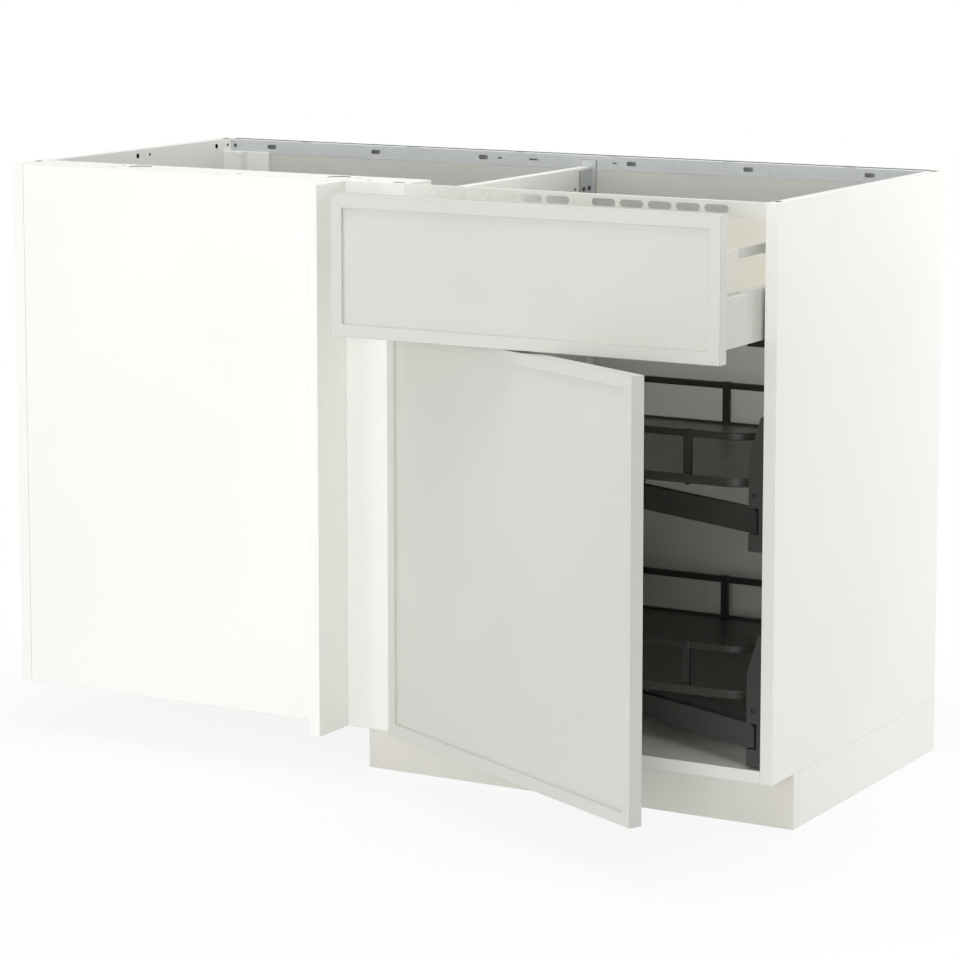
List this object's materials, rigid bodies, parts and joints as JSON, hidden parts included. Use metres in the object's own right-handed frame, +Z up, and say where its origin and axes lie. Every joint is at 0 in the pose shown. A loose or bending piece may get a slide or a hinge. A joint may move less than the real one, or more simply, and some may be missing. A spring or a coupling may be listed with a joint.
{
  "type": "corner base cabinet",
  "caption": "Blind corner kitchen base cabinet with a fixed panel, a drawer over a hinged door, and kidney trays that swing out on arms, on adjustable feet behind a plinth.",
  "frame": {"origin": "on the floor, under the middle of the box round the cabinet as it stands at rest, door and drawer part open", "axes": "+X to the right along the front, +Y back to the wall, +Z up"},
  "size_m": [1.275, 0.872, 0.88],
  "materials": {
    "white_board": "white melamine foil on chipboard, satin",
    "back_board": "white printed hardboard, matt",
    "white_plastic": "white moulded plastic",
    "grey_front": "light warm grey foil, satin",
    "galvanised_steel": "galvanised sheet, dull",
    "white_steel": "white powder coat",
    "zinc_fittings": "bright zinc plate",
    "dowel_wood": "bare beech",
    "black_plastic": "black moulded plastic",
    "runner_steel": "black painted steel",
    "tray_board": "anthracite melamine with a fine grain",
    "tray_steel": "anthracite powder coat"
  },
  "bodies": {
    "carcass": {"left_side_panel": "white_board", "right_side_panel": "white_board", "bottom_panel": "white_board", "back_panel_left": "back_board", "back_panel_right": "back_board", "back_joint_strip": "white_plastic", "blind_front_panel": "white_board", "filler_face": "white_board", "filler_return": "white_board", "hinge_stile": "white_board", "divider_panel": "white_board", "rear_corner_post": "white_board", "top_front_board": "white_board", "cover_plugs": "white_plastic", "top_board_dowels": "dowel_wood", "front_top_rail": "white_steel", "rear_top_rail": "galvanised_steel", "divider_bracket": "galvanised_steel", "bracket_screws": "zinc_fittings", "plinth_front": "white_board", "plinth_side": "white_board", "plinth_clips": "black_plastic", "leg_sockets": "black_plastic", "hinge_plates": "zinc_fittings", "hinge_arms": "zinc_fittings", "runner_ledges": "runner_steel", "lower_tray_brackets": "tray_steel", "lower_bracket_pins": "tray_steel", "upper_tray_brackets": "tray_steel", "upper_bracket_pins": "tray_steel"},
    "door": {"door_front": "grey_front", "hinge_cups": "zinc_fittings", "hinge_pins": "zinc_fittings"},
    "drawer": {"drawer_front": "grey_front", "drawer_bottom": "white_board", "drawer_back": "white_board", "drawer_side_left": "white_steel", "drawer_side_right": "white_steel", "gallery_rails": "white_steel", "front_brackets": "white_steel", "runner_tongues": "runner_steel"},
    "runner_middles": {"runner_middles": "runner_steel"},
    "lower_front_arm": {"lower_front_arm": "tray_steel"},
    "lower_rear_arm": {"lower_rear_arm": "tray_steel"},
    "lower_tray": {"lower_tray": "tray_board", "lower_tray_rail": "tray_steel", "lower_tray_posts": "tray_steel", "lower_tray_pivots": "tray_steel"},
    "upper_front_arm": {"upper_front_arm": "tray_steel"},
    "upper_rear_arm": {"upper_rear_arm": "tray_steel"},
    "upper_tray": {"upper_tray": "tray_board", "upper_tray_rail": "tray_steel", "upper_tray_posts": "tray_steel", "upper_tray_pivots": "tray_steel"},
    "foot_1": {"foot_1": "black_plastic"},
    "foot_2": {"foot_2": "black_plastic"},
    "foot_3": {"foot_3": "black_plastic"},
    "foot_4": {"foot_4": "black_plastic"},
    "foot_5": {"foot_5": "black_plastic"},
    "foot_6": {"foot_6": "black_plastic"}
  },
  "joints": [
    {"name": "drawer_slide", "type": "slide", "parent": "carcass", "child": "drawer", "axis": [0, -1, 0], "range_m": [-0.15, 0.3]},
    {"name": "runner_slide", "type": "slide", "parent": "carcass", "child": "runner_middles", "axis": [0, -1, 0], "range_m": [-0.075, 0.15]},
    {"name": "door_swing", "type": "hinge", "parent": "carcass", "child": "door", "pos_m": [0.046, -0.16054, 0.0815], "axis": [0, 0, -1], "range_deg": [-27, 83]},
    {"name": "lower_arm_swing", "type": "hinge", "parent": "carcass", "child": "lower_front_arm", "pos_m": [0.6015, -0.13404, 0.1445], "axis": [0, 0, 1], "range_deg": [0, 47]},
    {"name": "lower_rear_arm_swing", "type": "hinge", "parent": "carcass", "child": "lower_rear_arm", "pos_m": [0.6015, 0.11596, 0.1445], "axis": [0, 0, 1], "range_deg": [0, 47]},
    {"name": "lower_tray_turn", "type": "hinge", "parent": "lower_front_arm", "child": "lower_tray", "pos_m": [0.3702, -0.03917, 0.1445], "axis": [0, 0, 1], "range_deg": [-47, 0]},
    {"name": "upper_arm_swing", "type": "hinge", "parent": "carcass", "child": "upper_front_arm", "pos_m": [0.6015, -0.13404, 0.4445], "axis": [0, 0, 1], "range_deg": [0, 47]},
    {"name": "upper_rear_arm_swing", "type": "hinge", "parent": "carcass", "child": "upper_rear_arm", "pos_m": [0.6015, 0.11596, 0.4445], "axis": [0, 0, 1], "range_deg": [0, 47]},
    {"name": "upper_tray_turn", "type": "hinge", "parent": "upper_front_arm", "child": "upper_tray", "pos_m": [0.3702, -0.03917, 0.4445], "axis": [0, 0, 1], "range_deg": [-47, 0]},
    {"name": "foot_1_screw", "type": "slide", "parent": "carcass", "child": "foot_1", "axis": [0, 0, -1], "range_m": [0, 0.02]},
    {"name": "foot_2_screw", "type": "slide", "parent": "carcass", "child": "foot_2", "axis": [0, 0, -1], "range_m": [0, 0.02]},
    {"name": "foot_3_screw", "type": "slide", "parent": "carcass", "child": "foot_3", "axis": [0, 0, -1], "range_m": [0, 0.02]},
    {"name": "foot_4_screw", "type": "slide", "parent": "carcass", "child": "foot_4", "axis": [0, 0, -1], "range_m": [0, 0.02]},
    {"name": "foot_5_screw", "type": "slide", "parent": "carcass", "child": "foot_5", "axis": [0, 0, -1], "range_m": [0, 0.02]},
    {"name": "foot_6_screw", "type": "slide", "parent": "carcass", "child": "foot_6", "axis": [0, 0, -1], "range_m": [0, 0.02]}
  ],
  "couplings": [
    {"joint": "runner_slide", "follows": "drawer_slide", "ratio": 0.5},
    {"joint": "lower_rear_arm_swing", "follows": "lower_arm_swing", "ratio": 1},
    {"joint": "lower_tray_turn", "follows": "lower_arm_swing", "ratio": -1},
    {"joint": "upper_rear_arm_swing", "follows": "upper_arm_swing", "ratio": 1},
    {"joint": "upper_tray_turn", "follows": "upper_arm_swing", "ratio": -1}
  ]
}
